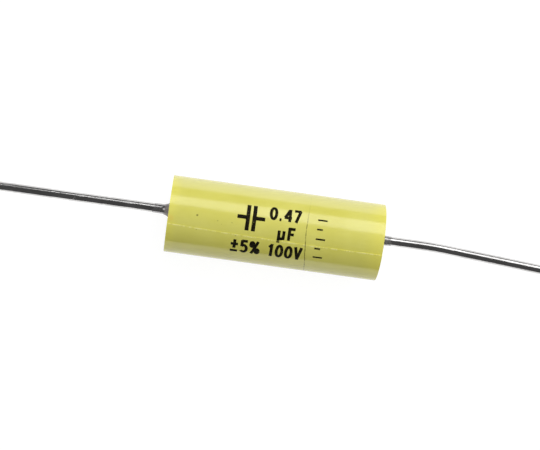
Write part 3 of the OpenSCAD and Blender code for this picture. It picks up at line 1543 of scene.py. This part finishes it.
@dataclass(frozen=True)
class Studio:
    """Floor, light and camera, as the photograph has them. Lengths are in metres."""

    floor_z: float
    floor_half: float = 3.0
    floor_colour: Colour = (0.9, 0.9, 0.9)
    shadow_colour: Colour = (0.16, 0.16, 0.16)
    floor_glow: float = 0.92
    lamps: tuple[Lamp, ...] = (
        Lamp(
            "key",
            LampShape.OVAL,
            distance=0.5,
            size=(0.6, 0.363),
            watts=2.0,
            back=math.radians(45),
            right=math.radians(26),
            gleams=False,
        ),
        Lamp(
            "gleam",
            LampShape.OVAL,
            distance=0.49,
            size=(0.63, 0.33),
            watts=0.94,
            back=math.radians(45),
            right=math.radians(25),
            lights=False,
        ),
        Lamp("fill", LampShape.BOX, distance=1.0, size=(1.2, 1.2), watts=5.6, gleams=False),
    )
    surround: float = 0.14
    surround_in_gloss: float = 0.075
    image_w: int = 540
    focal_px: float = 1469.0
    sensor_mm: float = 36.0
    clip_start: float = 0.005
    clip_end: float = 20.0
    camera_foot_x: float = -5.0 * MM
    camera_height: float = 95.0 * MM
    aim: Place = (-0.318 * MM, 0.136 * MM, 0.0)
    roll: float = math.radians(7.95)

    def floor(self) -> None:
        """Lays the pale floor, which the camera and the metal see as white apart from the shadow."""
        half = self.floor_half
        corners = [(x * half, y * half, self.floor_z) for x, y in ((-1, -1), (1, -1), (1, 1), (-1, 1))]
        plane = new_piece("floor", corners, [(0, 1, 2, 3)])
        material = bpy.data.materials.new("pale_floor")
        material.use_nodes = True
        tree = material.node_tree
        tree.nodes.remove(tree.nodes["Principled BSDF"])
        sketch = Sketch(tree)
        path = sketch.add("ShaderNodeLightPath").outputs
        seen = sketch.most(path["Is Camera Ray"], path["Is Glossy Ray"], path["Is Transmission Ray"])
        lit = sketch.add("ShaderNodeBsdfDiffuse", {"Color": rgba(self.floor_colour)})
        glow = sketch.add("ShaderNodeEmission", {"Color": WHITE, "Strength": self.floor_glow})
        shadowed = sketch.add("ShaderNodeBsdfDiffuse", {"Color": rgba(self.shadow_colour)})
        white = sketch.add("ShaderNodeAddShader", {0: shadowed.outputs[0], 1: glow.outputs[0]})
        feeds = {0: seen, 1: lit.outputs[0], 2: white.outputs[0]}
        both = sketch.add("ShaderNodeMixShader", feeds)
        sketch.feed(tree.nodes["Material Output"].inputs["Surface"], both.outputs[0])
        plane.data.materials.append(material)

    def light(self) -> None:
        """Hangs the lamps in a dim surround: the key at the back, its gleam and the soft fill overhead."""
        for lamp in self.lamps:
            lamp.hang()
        world = bpy.data.worlds.new("surround")
        world.use_nodes = True
        sketch = Sketch(world.node_tree)
        mirrored = sketch.add("ShaderNodeLightPath").outputs["Is Glossy Ray"]
        background = world.node_tree.nodes["Background"].inputs
        background["Color"].default_value = WHITE
        strength = sketch.fade(mirrored, low=self.surround, high=self.surround_in_gloss)
        sketch.feed(background["Strength"], strength)
        bpy.context.scene.world = world

    def camera(self) -> None:
        """Sets the camera nearly straight above the body, turned as the photograph is."""
        data = bpy.data.cameras.new("camera")
        data.sensor_width = self.sensor_mm
        data.lens = self.sensor_mm * self.focal_px / self.image_w
        data.clip_start = self.clip_start
        data.clip_end = self.clip_end
        camera = bpy.data.objects.new("camera", data)
        bpy.context.scene.collection.objects.link(camera)
        place = Vector((self.camera_foot_x, 0.0, self.camera_height))
        ahead = (Vector(self.aim) - place).normalized()
        right = Vector((math.cos(self.roll), math.sin(self.roll), 0.0))
        right = (right - ahead * right.dot(ahead)).normalized()
        up = right.cross(ahead)
        turn = Matrix((right, up, -ahead)).transposed().to_4x4()
        camera.matrix_world = Matrix.Translation(place) @ turn
        bpy.context.scene.camera = camera

    def build(self) -> None:
        """Sets up the whole studio."""
        self.floor()
        self.light()
        self.camera()
        bpy.context.scene.view_settings.view_transform = "Standard"


def main() -> None:
    """Builds the dressed capacitor on its solids."""
    logging.basicConfig(level=logging.INFO, format="%(name)s %(message)s")
    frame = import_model()
    low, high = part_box("wrap")
    spray_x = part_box("end_spray_right")[1].x
    half_length = high.x / MM
    effects = Effects()

    wrap = TapeWrap(outer_r=-low.z, bore_r=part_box("film_roll")[1].z, length=high.x - low.x)
    wrap.build(TapeFinish("yellow_tape", effects, half_length=half_length).build())
    RatingPrint(wrap).build(InkFinish("stamped_ink", effects).build())

    tin = WireFinish("tinned_wire", effects).build()
    head_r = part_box("lead_left")[1].z
    wire_r = frame["record"]["mounts"][0]["dims"]["r_mm"] * MM
    left = Lead(
        end=End.LEFT,
        spray_x=spray_x,
        body_end_x=high.x,
        offset=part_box("lead_left")[1].y - head_r,
        skin_l=-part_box("end_seal_left")[0].x - high.x,
        wire_r=wire_r,
        head_r=head_r,
    )
    right = Lead(
        end=End.RIGHT,
        spray_x=spray_x,
        body_end_x=high.x,
        offset=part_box("lead_right")[1].y - head_r,
        skin_l=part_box("end_seal_right")[1].x - high.x,
        wire_r=wire_r,
        head_r=head_r,
        bend_start=2.7 * MM,
        bend_angle=math.radians(3.8),
    )
    for lead in (left, right):
        lead.build(tin)

    left_resin = ResinFinish("cast_resin_left", effects, half_length=half_length)
    left_seal = EndSeal(
        wrap, left, recess=0.35 * MM, climb_r=0.83 * MM, climb_lean=0.07, skin_lean=0.08
    )
    right_resin = ResinFinish(
        "cast_resin_right",
        effects,
        half_length=half_length,
        rim=(0.5, 0.49, 0.485),
        dull_rim=(0.26, 0.255, 0.25),
        rim_w=0.7,
        rim_metal=0.65,
    )
    right_seal = EndSeal(
        wrap, right, recess=0.45 * MM, climb_r=0.7 * MM, climb_lean=0.0, skin_lean=0.05
    )
    for seal, resin in ((left_seal, left_resin), (right_seal, right_resin)):
        seal.build(resin.build())

    film = FilmFinish("wound_film", effects).build()
    spray = SprayFinish("sprayed_metal", effects).build()
    for node, material in (("film_roll", film), ("end_spray_left", spray), ("end_spray_right", spray)):
        mesh = frame["nodes"][node].data
        mesh.materials.clear()
        mesh.materials.append(material)
        LOG.info("%s: %s", node, material.name)

    Studio(floor_z=low.z).build()


if __name__ == "__main__":
    main()
